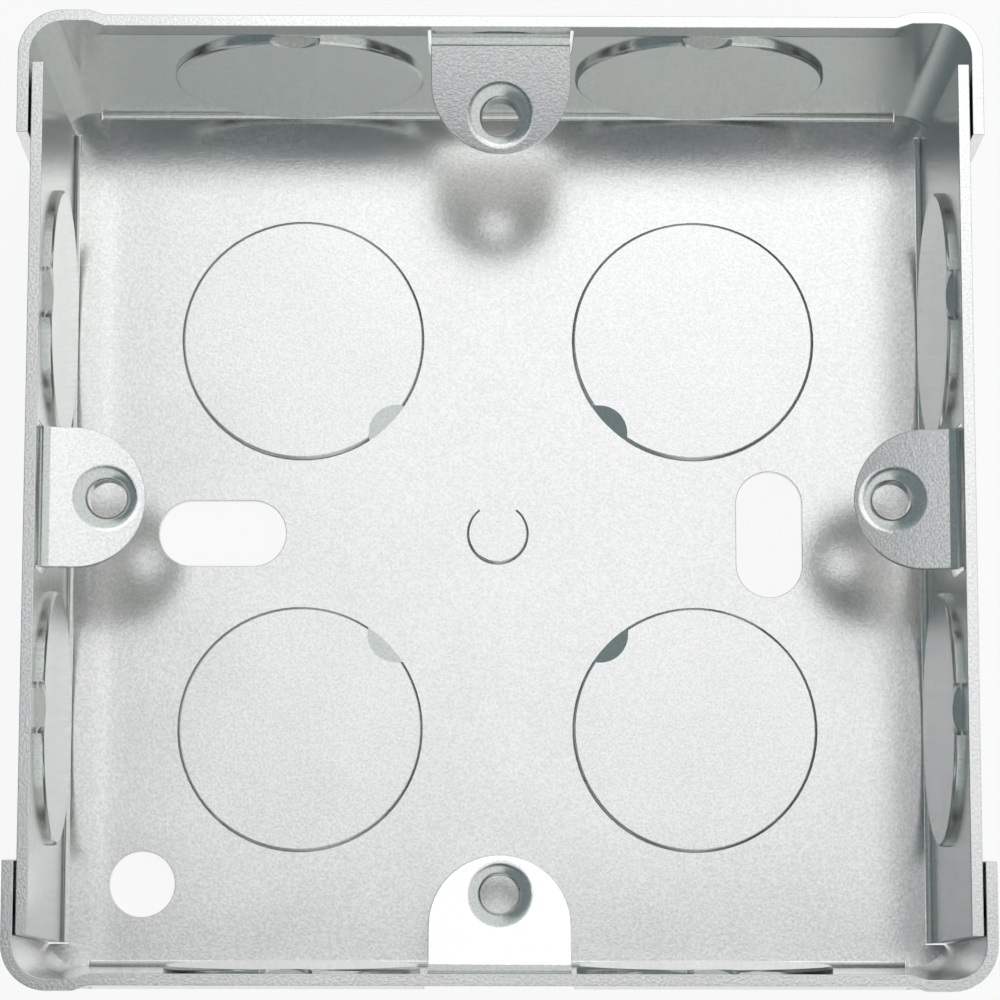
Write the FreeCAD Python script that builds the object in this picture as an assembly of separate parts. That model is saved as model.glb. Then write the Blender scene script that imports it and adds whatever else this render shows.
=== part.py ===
"""Flush back box for one wiring accessory, folded from a single steel sheet.

The box lies on its back: origin at the middle of the back's outer face,
+Z out of the open mouth, +Y up when it is fixed in a wall. Millimetres.
"""
import FreeCAD
import Part
import math
import os
from FreeCAD import Placement, Rotation, Vector

# Sheet
sheet = 0.9
fold_inner = 0.5
depth = 25.0

# Screw holes of the lugs, and from them the outer faces of the walls
lug_pitch = 60.3
side_beyond_hole = 5.95
end_beyond_hole = 6.05
end_lean = 3.2

# Rim strip of the top and bottom walls, set inward between the corners
strip_inset = 2.4
strip_ramp_x = 1.2
strip_height = 3.4
strip_ramp_z = 1.0
strip_set = 0.26

# Corner wraps and the tabs that lie outside the side walls
wrap_outer = 3.5
tab_gap = 0.2
tab_length = 9.7
wrap_straight = 0.7
side_end_gap = 2.8
corner_clear = 0.1
corner_inset = 0.3
corner_slit = 0.1

# Spot welds between tabs and side walls
weld_radius = 1.5
weld_dimple = 0.12
weld_dimple_radius = 2.1

# Fixing lugs
lug_width = 10.8
lug_end = 3.15
lug_drop = 3.5
lug_bend = 0.9
lug_clear = 0.25
lug_slit = 0.5
lug_slit_height = 0.8
lug_droop = 8.0
screw_bore = 2.9
collar_outer = 4.1
collar_length = 2.2

# Knockouts
knock_diameter = 20.0
knock_pitch = 32.2
knock_low_gap = 0.0
knock_back_proud = 0.45
knock_wall_proud = 0.55
knock_chamfer = 0.2
tie_radius = 2.3
tie_depth = 1.35
small_knock_diameter = 5.1
small_knock_proud = 0.35
small_tie_radius = 1.65
small_tie_depth = 1.55

# Fixing slots and hole in the back
slot_length = 10.4
slot_width = 5.4
left_slot_inset = 13.5
right_slot_inset = 13.8
corner_hole_diameter = 5.3
corner_hole_inset_x = 7.3
corner_hole_inset_y = 7.5

X = Vector(1, 0, 0)
Y = Vector(0, 1, 0)
Z = Vector(0, 0, 1)
over = 1.0

side_half = lug_pitch / 2 + side_beyond_hole
end_half_base = lug_pitch / 2 + end_beyond_hole
fold_outer = fold_inner + sheet
lean = math.radians(end_lean)
slope = math.tan(lean)
fold_z = sheet + fold_inner
side_in = side_half - sheet
fold_y = end_half_base - fold_outer * math.cos(lean)


def end_inner(z):
    """y of a leaning wall's inner face at height z."""
    base_z = fold_z - fold_inner * math.sin(lean)
    return fold_y + fold_inner * math.cos(lean) + (z - base_z) * slope


def end_outer(z):
    """y of a leaning wall's outer face at height z."""
    return end_inner(z) + sheet / math.cos(lean)


strip_bottom = depth - strip_height
strip_top_of_ramp = strip_bottom + strip_ramp_z
strip_in = end_inner(strip_top_of_ramp) - strip_set
tab_in = side_half + tab_gap
tab_out = tab_in + sheet
wrap_x = tab_out - wrap_outer
wrap_inner = wrap_outer - sheet
end_fold_half = wrap_x - wrap_straight
strip_half = end_fold_half - strip_inset
side_end = end_half_base - side_end_gap
tab_end_rim = end_outer(depth) - tab_length
hole_top = depth - lug_drop
lug_tip = lug_pitch / 2 - lug_end
droop = math.radians(lug_droop)
wrap_low = sheet + corner_clear
knock_wall_z = fold_z + knock_low_gap + knock_diameter / 2


def face_of(edges):
    return Part.Face(Part.Wire(edges))


def polygon(points):
    return Part.Face(Part.makePolygon(points + points[:1]))


def box(x0, x1, y0, y1, z0, z1):
    return Part.makeBox(x1 - x0, y1 - y0, z1 - z0, Vector(x0, y0, z0))


def disc(radius, z0, z1, x=0.0, y=0.0):
    return Part.makeCylinder(radius, z1 - z0, Vector(x, y, z0), Z)


def turned(profile, x=0.0, y=0.0):
    """Solid of revolution about a vertical axis from (radius, z) points."""
    outline = polygon([Vector(x + radius, y, z) for radius, z in profile])
    return outline.revolve(Vector(x, y, 0), Z, 360)


def mirrored(shape, normal):
    return shape.mirror(Vector(0, 0, 0), normal)


def arc(centre, radius, start, end, across, up):
    """Circular edge in the plane of two unit vectors, angles in degrees."""
    points = []
    for angle in (start, (start + end) / 2, end):
        turn = math.radians(angle)
        points.append(centre + across * (radius * math.cos(turn)) + up * (radius * math.sin(turn)))
    return Part.Arc(*points).toShape()


def line(a, b):
    return Part.makeLine(a, b)


def folded_half(across, fold_at, lean_degrees, height, half_length):
    """Half a channel: back plate from the middle, one fold and one wall."""
    along = across.cross(Z)
    turn = math.radians(lean_degrees)
    centre = across * fold_at + Z * fold_z
    inner = arc(centre, fold_inner, -90, -lean_degrees, across, Z)
    outer = arc(centre, fold_outer, -90, -lean_degrees, across, Z)
    inner_end = inner.Vertexes[-1].Point
    outer_end = outer.Vertexes[-1].Point
    inner_top = inner_end + (across * math.tan(turn) + Z) * (height - inner_end.z)
    outer_top = outer_end + (across * math.tan(turn) + Z) * (height - outer_end.z)
    start_in = Z * sheet
    start_out = Vector(0, 0, 0)
    edges = [
        line(start_out, outer.Vertexes[0].Point),
        outer,
        line(outer_end, outer_top),
        line(outer_top, inner_top),
        line(inner_top, inner_end),
        inner,
        line(inner.Vertexes[0].Point, start_in),
        line(start_in, start_out),
    ]
    profile = face_of(Part.__sortEdges__(edges))
    profile.translate(along * -half_length)
    return profile.extrude(along * (2 * half_length))


def strip_profile(x, inner_ramp, inner_rim):
    """Section of a leaning wall above the strip's lower edge, at one x."""
    thick = sheet / math.cos(lean)
    ramp_z = strip_top_of_ramp
    points = [
        Vector(x, end_inner(strip_bottom), strip_bottom),
        Vector(x, inner_ramp, ramp_z),
        Vector(x, inner_rim, depth),
        Vector(x, inner_rim + thick, depth),
        Vector(x, inner_ramp + thick, ramp_z),
        Vector(x, end_outer(strip_bottom), strip_bottom),
    ]
    return points


def rim_strip():
    """Rim of the top wall: straight strip, two eased ends, plain corners."""
    plain = (end_inner(strip_top_of_ramp), end_inner(depth))
    middle = polygon(strip_profile(-strip_half, strip_in, strip_in)).extrude(X * (2 * strip_half))
    eased_x = strip_half + strip_ramp_x
    near = strip_profile(strip_half, strip_in, strip_in)
    far = strip_profile(eased_x, *plain)
    ramp = Part.makeLoft([Part.makePolygon(p + p[:1]) for p in (near, far)], True, True)
    end = polygon(far).extrude(X * (end_fold_half - eased_x))
    return [middle, ramp, mirrored(ramp, X), end, mirrored(end, X)]


def corner_wrap():
    """Wall end turned round the corner into a tab outside the side wall."""
    low_in = end_inner(wrap_low)
    low_out = end_outer(wrap_low)
    tab_end = tab_end_rim - (depth - wrap_low) * slope
    at_z = Z * wrap_low
    inner_centre = Vector(wrap_x, low_in - wrap_inner, 0) + at_z
    outer_centre = Vector(wrap_x, low_out - wrap_outer, 0) + at_z
    inner = arc(inner_centre, wrap_inner, 90, 0, X, Y)
    outer = arc(outer_centre, wrap_outer, 90, 0, X, Y)
    wall_in = Vector(end_fold_half, low_in, wrap_low)
    wall_out = Vector(end_fold_half, low_out, wrap_low)
    tab_inner = Vector(tab_in, tab_end, wrap_low)
    tab_outer = Vector(tab_out, tab_end, wrap_low)
    edges = [
        line(wall_in, inner.Vertexes[0].Point),
        inner,
        line(inner.Vertexes[-1].Point, tab_inner),
        line(tab_inner, tab_outer),
        line(tab_outer, outer.Vertexes[-1].Point),
        outer,
        line(outer.Vertexes[0].Point, wall_out),
        line(wall_out, wall_in),
    ]
    rise = depth - wrap_low
    wrap = face_of(Part.__sortEdges__(edges)).extrude(Vector(0, rise * slope, rise))
    slit = box(end_fold_half - over, end_fold_half + corner_slit, 0, 2 * side_half, 0, fold_z)
    return wrap.cut(slit)


def corner_patch():
    """Rounded corner of the back plate, under the wrap and slit free of the two folds."""
    radius = wrap_outer - corner_inset
    rounded = disc(radius, 0, sheet, wrap_x, end_half_base - wrap_outer)
    outside = box(end_fold_half + corner_slit, tab_out, side_end + corner_slit, end_half_base, 0, sheet)
    root = box(end_fold_half - over, side_half - fold_outer, side_end - over, fold_y, 0, sheet)
    return rounded.common(outside).fuse(root)


def weld():
    """Spot weld that joins a tab to the side wall, and its outer dimple."""
    z = (wrap_low + depth) / 2
    tab_middle = end_outer(z) - (wrap_outer + tab_length) / 2
    root = sheet / 4
    nugget = Part.makeCylinder(weld_radius, tab_gap + 2 * root, Vector(side_half - root, tab_middle, z), X)
    start = Vector(tab_out - weld_dimple, tab_middle, z)
    return nugget, Part.makeCylinder(weld_dimple_radius, over, start, X)


def quarter_copies(shape):
    right_top = shape
    left_top = mirrored(shape, X)
    return [right_top, left_top, mirrored(right_top, Y), mirrored(left_top, Y)]


def above_ramp(edge, reach, low, high, top):
    """Prism over a plane that falls from high to low towards the rim of a slug."""
    inner_y = edge - reach
    points = [
        Vector(0, inner_y, high),
        Vector(0, edge, low),
        Vector(0, edge + reach, low),
        Vector(0, edge + reach, top),
        Vector(0, inner_y, top),
    ]
    prism = polygon(points).extrude(X * (4 * reach))
    prism.translate(X * (-2 * reach))
    return prism


def knockout(diameter, proud, tie_r, tie_d, tie_level, turn):
    """Raised slug, and what is cut away round it, in the sheet's own axes.

    The slug is half sheared through the sheet: it stands proud of the inner
    face by as much as it is sunk in the outer face. At the tie the metal
    slopes back to the sheet from the tie's level, and a level inside the sheet
    leaves the tie flush with it. The tie is a shallow arc on the slug's edge,
    and points along +y turned by turn degrees.
    """
    radius = diameter / 2
    low = sheet / 2
    top = sheet + proud
    edge = [(radius, top - knock_chamfer), (radius - knock_chamfer, top)]
    slug = turned([(0, low), (radius, low)] + edge + [(0, top)])
    tie_y = radius + tie_r - tie_d
    moon = disc(tie_r, -over, top + over, 0, tie_y)
    ramp_top = above_ramp(radius, tie_d, sheet, tie_level, top + over)
    slug = slug.cut(moon.common(ramp_top))
    ramp_under = above_ramp(radius, tie_d, 0, proud, proud + over)
    recess = disc(radius, -over, proud).cut(moon.common(ramp_under))
    slug.rotate(Vector(0, 0, 0), Z, turn)
    recess.rotate(Vector(0, 0, 0), Z, turn)
    return slug, recess


def bend_height(wall_in):
    """Height of the bend's axis that brings the tongue to hole_top at the screw hole."""
    run = wall_in - lug_bend * (1 - math.sin(droop)) - lug_pitch / 2
    return hole_top + lug_bend * math.cos(droop) + run * math.tan(droop)


def lug(wall_in):
    """Lug of the +Y wall whose inner face is at wall_in: bend, tongue, collar.

    The tongue is made level and then turned down about the bend's axis. The
    screw hole and its collar stay upright.
    """
    half = lug_width / 2
    bend_y = wall_in - lug_bend
    bend_z = bend_height(wall_in)
    centre = Vector(-half, bend_y, bend_z)
    inner = arc(centre, lug_bend, 0, lug_droop - 90, Y, Z)
    outer = arc(centre, lug_bend + sheet, 0, lug_droop - 90, Y, Z)
    edges = [
        inner,
        line(inner.Vertexes[-1].Point, outer.Vertexes[-1].Point),
        outer,
        line(outer.Vertexes[0].Point, inner.Vertexes[0].Point),
    ]
    bend = face_of(Part.__sortEdges__(edges)).extrude(X * lug_width)
    round_y = lug_tip + half
    top = bend_z - lug_bend
    low = top - sheet
    round_end = disc(half, low, top, 0, round_y).common(box(-half, half, 0, round_y, low, top))
    tongue = box(-half, half, round_y, bend_y, low, top).fuse(round_end)
    tongue.rotate(centre, X, lug_droop)

    hole_y = lug_pitch / 2
    collar_low = hole_top - collar_length
    collar = disc(collar_outer / 2, collar_low, hole_top - sheet / 2, 0, hole_y)
    bore = disc(screw_bore / 2, collar_low - over, hole_top + over, 0, hole_y)
    return bend.fuse([tongue, collar]).cut(bore)


def lug_window(wall_in, wall_out):
    """Opening the lug was cut from, with its two slits beside the bend."""
    half = lug_width / 2 + lug_clear
    bend_z = bend_height(wall_in)
    flat = wall_in - lug_bend - lug_tip
    developed = flat + (lug_bend + sheet / 2) * math.pi / 2
    end_z = bend_z - developed - lug_clear
    y0 = wall_in - 2 * over
    through = wall_out - y0 + 2 * over
    window = box(-half, half, y0, y0 + through, end_z + half, bend_z)
    rounded = Part.makeCylinder(half, through, Vector(0, y0, end_z + half), Y)
    slit = box(half - lug_slit, half, y0, y0 + through, bend_z - over, bend_z + lug_slit_height)
    return window.fuse([rounded, slit, mirrored(slit, X)])


def slot(x, upright):
    """Round-ended slot through the back, lying or upright."""
    straight = slot_length - slot_width
    half = slot_width / 2
    shape = box(-straight / 2, straight / 2, -half, half, -over, sheet + over)
    ends = [disc(half, -over, sheet + over, s * straight / 2) for s in (-1, 1)]
    shape = shape.fuse(ends)
    if upright:
        shape.rotate(Vector(0, 0, 0), Z, 90)
    shape.translate(X * x)
    return shape


def build():
    top = folded_half(Y, fold_y, end_lean, strip_bottom, end_fold_half)
    right = folded_half(X, side_half - fold_outer, 0, depth, side_end)
    sheet_parts = [top, mirrored(top, Y), right, mirrored(right, X)]
    rim = rim_strip()
    sheet_parts += rim + [mirrored(part, Y) for part in rim]
    sheet_parts += quarter_copies(corner_wrap())
    sheet_parts += quarter_copies(corner_patch())
    nugget, dimple = weld()
    sheet_parts += quarter_copies(nugget)

    raised = []
    removed = quarter_copies(dimple)
    up_end = Vector(0, math.sin(lean), math.cos(lean))
    wall_rise = knock_wall_z / math.cos(lean)
    top_foot = Vector(0, end_outer(0), 0)
    half_pitch = knock_pitch / 2
    centres = []
    for sx in (-1, 1):
        for sy in (-1, 1):
            turn = math.degrees(math.atan2(sx, -sy))
            centres.append((Vector(sx * half_pitch, sy * half_pitch, 0), Y, Z, turn, knock_back_proud))
    for s in (-1, 1):
        for along in (-half_pitch, half_pitch):
            side = Vector(s * side_half, along, knock_wall_z)
            centres.append((side, Z, X * -s, 0, knock_wall_proud))
            up = Vector(0, s * up_end.y, up_end.z)
            inward = Vector(0, -s * up_end.z, up_end.y)
            foot = Vector(along, s * top_foot.y, 0)
            centres.append((foot + up * wall_rise, up, inward, 0, knock_wall_proud))
    for origin, up, inward, turn, proud in centres:
        level = sheet + proud
        slug, recess = knockout(knock_diameter, proud, tie_radius, tie_depth, level, turn)
        frame = Placement(origin, Rotation(up.cross(inward), up, inward, "ZXY")).toMatrix()
        slug.transformShape(frame)
        recess.transformShape(frame)
        raised.append(slug)
        removed.append(recess)
    slug, recess = knockout(
        small_knock_diameter,
        small_knock_proud,
        small_tie_radius,
        small_tie_depth,
        sheet / 2,
        0,
    )
    raised.append(slug)
    removed.append(recess)

    end_window = lug_window(strip_in, strip_in + sheet)
    side_window = lug_window(side_in, side_half)
    side_window.rotate(Vector(0, 0, 0), Z, -90)
    removed += [end_window, mirrored(end_window, Y), side_window, mirrored(side_window, X)]
    removed += [slot(left_slot_inset - side_half, False), slot(side_half - right_slot_inset, True)]
    hole_x = corner_hole_inset_x - side_half
    hole_y = corner_hole_inset_y - end_half_base
    hole = disc(corner_hole_diameter / 2, -over, sheet + over, hole_x, hole_y)
    removed.append(hole)

    body = sheet_parts[0].fuse(sheet_parts[1:]).removeSplitter()
    body = body.fuse(raised).cut(removed)
    end_lug = lug(strip_in)
    side_lug = lug(side_in)
    side_lug.rotate(Vector(0, 0, 0), Z, -90)
    return body.fuse([end_lug, mirrored(end_lug, Y), side_lug, mirrored(side_lug, X)])


os.makedirs("parts", exist_ok=True)
body = build()
if len(body.Solids) != 1 or not body.isValid():
    raise SystemExit("the sheet is not one valid solid")
body = body.Solids[0]
body.exportStep("parts/back_box.step")
size = body.BoundBox
print("back_box", round(body.Volume, 1), [round(v, 2) for v in (size.XLength, size.YLength, size.ZLength)])
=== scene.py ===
"""Looks of the flush back box: one galvanised steel sheet on a pale floor."""

from math import radians, tan

import bmesh
import bpy
from mathutils import Matrix, Vector


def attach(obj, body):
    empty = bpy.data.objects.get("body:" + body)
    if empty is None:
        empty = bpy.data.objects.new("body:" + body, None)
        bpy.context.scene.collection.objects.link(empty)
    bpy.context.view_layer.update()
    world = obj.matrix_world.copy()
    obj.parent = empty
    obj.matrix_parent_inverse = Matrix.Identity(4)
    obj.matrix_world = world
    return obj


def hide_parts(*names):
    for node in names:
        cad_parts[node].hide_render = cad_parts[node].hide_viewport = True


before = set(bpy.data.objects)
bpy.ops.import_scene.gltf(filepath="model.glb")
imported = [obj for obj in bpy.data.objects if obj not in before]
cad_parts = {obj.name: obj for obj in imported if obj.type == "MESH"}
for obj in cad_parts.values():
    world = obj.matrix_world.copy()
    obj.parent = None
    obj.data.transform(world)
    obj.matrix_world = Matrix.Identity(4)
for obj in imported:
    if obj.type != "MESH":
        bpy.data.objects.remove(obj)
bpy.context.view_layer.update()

MM = 0.001

# Camera of the photograph, fitted to the screw holes and the rim
camera_place = Vector((-2.425, -40.226, 302.448)) * MM
camera_right = Vector((0.99996, 0.00118, 0.00878))
camera_up = Vector((-0.00241, 0.98997, 0.14128))
focal_length = 133.24
sensor_width = 36.0
nearest_seen = 0.01
farthest_seen = 10.0

# Points this close are one point, and facets this near to level are one flat
same_point = 0.0005 * MM
same_flat = 0.01

# Edges left by the press are rounded by this much, in this many facets
edge_round = 0.06 * MM
edge_steps = 2
# An edge is sharp when it turns by more than this angle
sharp_angle = 0.6
# A face can carry the round when it is more than this many rounds wide
rounds_per_face = 2.2

# Screw holes of the lugs: how far out and how wide they are, and the height of
# the lug's upper face at the axis, which falls towards the middle of the box
hole_reach = 30.15 * MM
hole_radius = 1.45 * MM
hole_top = 21.5 * MM
lug_fall = tan(radians(8.0))
hole_sides = [Vector(side) for side in ((1, 0), (-1, 0), (0, 1), (0, -1))]
# Mouth of each hole, which the punch draws in
mouth_width = 1.2 * MM
mouth_depth = 0.7 * MM
mouth_steps = 8
# A point this close to the upper edge of a hole lies on it
edge_reach = 0.01 * MM

# Facets that meet below these angles are one curve, on a rounded edge or elsewhere
round_crease = 0.87
crease_angle = 0.44
# A face wider than this, or level with its neighbour, is flat
flat_width = 0.75 * MM
flat_angle = 0.005

# The floor is a hair below the back, so that the two never touch
floor_half = 3.0
floor_drop = 0.2 * MM
# Share of the floor's own light where it is seen directly or in the metal
floor_glow = 0.9


def linear(hex_colour):
    """sRGB hex to linear: below 0.04045 a straight line, above it a power of 2.4."""
    out = []
    for i in (1, 3, 5):
        c = int(hex_colour[i:i + 2], 16) / 255
        out.append(c / 12.92 if c <= 0.04045 else ((c + 0.055) / 1.055) ** 2.4)
    return (*out, 1.0)


def new_object(name, data):
    """Object with that data, put in the scene."""
    thing = bpy.data.objects.new(name, data)
    bpy.context.scene.collection.objects.link(thing)
    return thing


def add(tree, kind, settings=None, inputs=None, links=None):
    """A node of that kind with its settings, socket values and incoming links."""
    node = tree.nodes.new(kind)
    for key, value in (settings or {}).items():
        setattr(node, key, value)
    for key, value in (inputs or {}).items():
        node.inputs[key].default_value = value
    for key, socket in (links or {}).items():
        tree.links.new(socket, node.inputs[key])
    return node


def empty_material(name):
    """Material of that name with no nodes yet."""
    material = bpy.data.materials.new(name)
    material.use_nodes = True
    material.node_tree.nodes.clear()
    return material


def galvanised_steel():
    """Zinc-coated mild steel sheet, cold rolled, coated and then stamped.

    The zinc gives a pale grey metal with a satin gloss. Its skin is slightly
    uneven, which shows as a fine speckle where the light falls at a slant.
    """
    material = empty_material("galvanised_steel")
    tree = material.node_tree
    place = add(tree, "ShaderNodeTexCoord").outputs["Object"]
    # Grain of the coat, about 0.2 mm across
    grain = add(
        tree,
        "ShaderNodeTexNoise",
        inputs={"Scale": 1 / (0.2 * MM), "Detail": 2.0, "Roughness": 0.6},
        links={"Vector": place},
    ).outputs["Fac"]
    colour = add(tree, "ShaderNodeValToRGB", links={"Fac": grain})
    ramp = colour.color_ramp
    for stop, position, shade in zip(ramp.elements, (0.3, 0.65), ("#d6d6d5", "#e8e7e6")):
        stop.position = position
        stop.color = linear(shade)
    # Soft patches about 9 mm across where the coat is a little duller
    patch = add(
        tree,
        "ShaderNodeTexNoise",
        inputs={"Scale": 1 / (9 * MM), "Detail": 1.0, "Roughness": 0.5},
        links={"Vector": place},
    ).outputs["Fac"]
    rough = add(
        tree,
        "ShaderNodeMapRange",
        inputs={"From Min": 0.3, "From Max": 0.7, "To Min": 0.19, "To Max": 0.17},
        links={"Value": patch},
    )
    # The grain stands up by 3.5 thousandths of a millimetre
    bump = add(
        tree,
        "ShaderNodeBump",
        inputs={"Strength": 1.0, "Distance": 0.0035 * MM},
        links={"Height": grain},
    )
    shader = add(
        tree,
        "ShaderNodeBsdfPrincipled",
        inputs={"Metallic": 1.0},
        links={
            "Base Color": colour.outputs["Color"],
            "Roughness": rough.outputs["Result"],
            "Normal": bump.outputs["Normal"],
        },
    )
    add(tree, "ShaderNodeOutputMaterial", links={"Surface": shader.outputs["BSDF"]})
    return material


def matt_white_floor():
    """Matt white floor: seen directly or in the metal it glows, and it keeps a faint shadow."""
    material = empty_material("matt_white_floor")
    tree = material.node_tree
    path = add(tree, "ShaderNodeLightPath").outputs
    seen = add(
        tree,
        "ShaderNodeMath",
        {"operation": "MAXIMUM"},
        links={0: path["Is Camera Ray"], 1: path["Is Glossy Ray"]},
    )
    share = add(
        tree,
        "ShaderNodeMath",
        {"operation": "MULTIPLY"},
        {1: floor_glow},
        {0: seen.outputs[0]},
    )
    matt = add(tree, "ShaderNodeBsdfDiffuse", inputs={"Color": linear("#f2f2f2")})
    glow = add(tree, "ShaderNodeEmission", inputs={"Color": (1, 1, 1, 1), "Strength": 1.0})
    mix = add(
        tree,
        "ShaderNodeMixShader",
        links={0: share.outputs[0], 1: matt.outputs["BSDF"], 2: glow.outputs["Emission"]},
    )
    add(tree, "ShaderNodeOutputMaterial", links={"Surface": mix.outputs["Shader"]})
    return material


def softbox(name, place, width, height, radiance):
    """Area lamp that faces straight down. Its power is 4 times its area times its radiance."""
    data = bpy.data.lights.new(name, "AREA")
    data.shape = "RECTANGLE"
    data.size = width
    data.size_y = height
    data.energy = 4 * width * height * radiance
    new_object(name, data).location = place


def ease(tree, value, low, high):
    """Goes smoothly from 0 where the value is low to 1 where it is high."""
    return add(
        tree,
        "ShaderNodeMapRange",
        {"interpolation_type": "SMOOTHSTEP"},
        {"From Min": low, "From Max": high},
        {"Value": value},
    ).outputs["Result"]


def studio(light_side, dim_side, top):
    """Tent round the object, seen in the metal; behind the object it is plain white.

    It is light all round but for the side at -X, and dark straight above.
    """
    world = bpy.data.worlds.new("studio")
    bpy.context.scene.world = world
    world.use_nodes = True
    tree = world.node_tree
    tree.nodes.clear()
    place = add(tree, "ShaderNodeTexCoord").outputs["Generated"]
    direction = add(tree, "ShaderNodeSeparateXYZ", links={"Vector": place}).outputs
    across = ease(tree, direction["X"], -0.35, 0.05)
    rise = ease(tree, direction["Z"], 0.93, 0.99)
    dim, light, dark = (
        add(tree, "ShaderNodeBackground", inputs={"Color": linear(colour)}).outputs["Background"]
        for colour in (dim_side, light_side, top)
    )
    sides = add(tree, "ShaderNodeMixShader", links={0: across, 1: dim, 2: light})
    tent = add(tree, "ShaderNodeMixShader", links={0: rise, 1: sides.outputs[0], 2: dark})
    white = add(tree, "ShaderNodeBackground", inputs={"Color": (1, 1, 1, 1), "Strength": 1.0})
    path = add(tree, "ShaderNodeLightPath").outputs
    mix = add(
        tree,
        "ShaderNodeMixShader",
        links={0: path["Is Camera Ray"], 1: tent.outputs[0], 2: white.outputs[0]},
    )
    add(tree, "ShaderNodeOutputWorld", links={"Surface": mix.outputs["Shader"]})


def face_width(face):
    """Rough width of a face: its area over its longest edge."""
    return face.calc_area() / max(edge.calc_length() for edge in face.edges)


def rounded(work, edges, width, steps):
    """Give the edges a circular round of that width, and return what it is made of."""
    return bmesh.ops.bevel(
        work,
        geom=edges,
        offset=width,
        offset_type="OFFSET",
        segments=steps,
        profile=0.5,
        affect="EDGES",
        clamp_overlap=False,
    )


def below_lug(point, side):
    """Distance from the axis of the screw hole on that side, and depth under the lug's face."""
    offset = point.xy - side * hole_reach
    face = hole_top + offset.dot(side) * lug_fall
    return offset.length, face - point.z


def on_hole_edge(point, side):
    """Whether the point lies on the upper edge of the screw hole on that side."""
    out, down = below_lug(point, side)
    return abs(out - hole_radius) < edge_reach and abs(down) < edge_reach


def drawn_mouths(work):
    """Round the upper edge of each screw hole as the punch leaves it.

    The edge gets a round as wide as the mouth, and its depth is then scaled,
    so the section is a quarter of an ellipse.
    """
    for side in hole_sides:
        mouth = [e for e in work.edges if all(on_hole_edge(v.co, side) for v in e.verts)]
        made = rounded(work, mouth, mouth_width, mouth_steps)
        for vertex in made["verts"]:
            down = below_lug(vertex.co, side)[1]
            vertex.co.z += down * (1 - mouth_depth / mouth_width)
    work.normal_update()


def pressed_edges(node, material):
    """Copy of the sheet with its flat facets joined and its sharp edges rounded.

    Only outward edges between two faces wide enough to carry the round get
    one. Every other crease stays crisp.
    """
    work = bmesh.new()
    work.from_mesh(node.data)
    bmesh.ops.remove_doubles(work, verts=work.verts, dist=same_point)
    bmesh.ops.dissolve_limit(work, angle_limit=same_flat, verts=work.verts, edges=work.edges)
    drawn_mouths(work)
    sharp = [
        edge
        for edge in work.edges
        if len(edge.link_faces) == 2
        and edge.calc_face_angle_signed() > sharp_angle
        and min(face_width(face) for face in edge.link_faces) > rounds_per_face * edge_round
    ]
    made = rounded(work, sharp, edge_round, edge_steps)
    work.normal_update()
    work.faces.index_update()
    rounds = {face.index for face in made["faces"]}
    mesh = bpy.data.meshes.new("pressed_sheet")
    work.to_mesh(mesh)
    mesh.materials.append(material)
    mesh.shade_smooth()
    mesh.normals_split_custom_set(sheet_normals(work, rounds))
    work.free()
    return new_object("pressed_sheet", mesh)


def sheet_normals(work, rounds):
    """Normal of each corner of each face.

    A flat keeps its own. Elsewhere it is the sum, by area, over the faces at
    that point that turn away by less than the crease angle.
    """
    area = [face.calc_area() for face in work.faces]
    normals = []
    for face in work.faces:
        pairs = [edge for edge in face.edges if len(edge.link_faces) == 2]
        level = any(edge.calc_face_angle() < flat_angle for edge in pairs)
        flat = level or face_width(face) > flat_width
        limit = round_crease if face.index in rounds else crease_angle
        for corner in face.loops:
            normal = face.normal.copy()
            if not flat:
                near = [f for f in corner.vert.link_faces if f.normal.angle(face.normal, 0) < limit]
                normal = sum((f.normal * area[f.index] for f in near), Vector()).normalized()
            normals.append(normal)
    return normals


steel = galvanised_steel()
sheet = pressed_edges(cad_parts["back_box"], steel)
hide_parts("back_box")
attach(sheet, "root")

floor_mesh = bpy.data.meshes.new("floor")
corners = [
    (x * floor_half, y * floor_half, -floor_drop)
    for x, y in ((-1, -1), (1, -1), (1, 1), (-1, 1))
]
floor_mesh.from_pydata(corners, [], [(0, 1, 2, 3)])
floor_mesh.materials.append(matt_white_floor())
floor = new_object("floor", floor_mesh)

# Studio: dark straight above, where the camera stands, dim on the left and light
# elsewhere, with one soft window high over the object
studio(light_side="#e2eae7", dim_side="#7a888a", top="#2a3a40")
softbox("window", place=(0.115, 0.53, 3.0), width=1.07, height=1.18, radiance=0.92)

camera_data = bpy.data.cameras.new("camera")
camera_data.sensor_width = sensor_width
camera_data.lens = focal_length
camera_data.clip_start = nearest_seen
camera_data.clip_end = farthest_seen
camera = new_object("camera", camera_data)
bpy.context.scene.camera = camera
camera_back = camera_right.cross(camera_up)
turn = Matrix((camera_right, camera_up, camera_back)).transposed().to_4x4()
camera.matrix_world = Matrix.Translation(camera_place) @ turn

bpy.context.scene.view_settings.view_transform = "Standard"
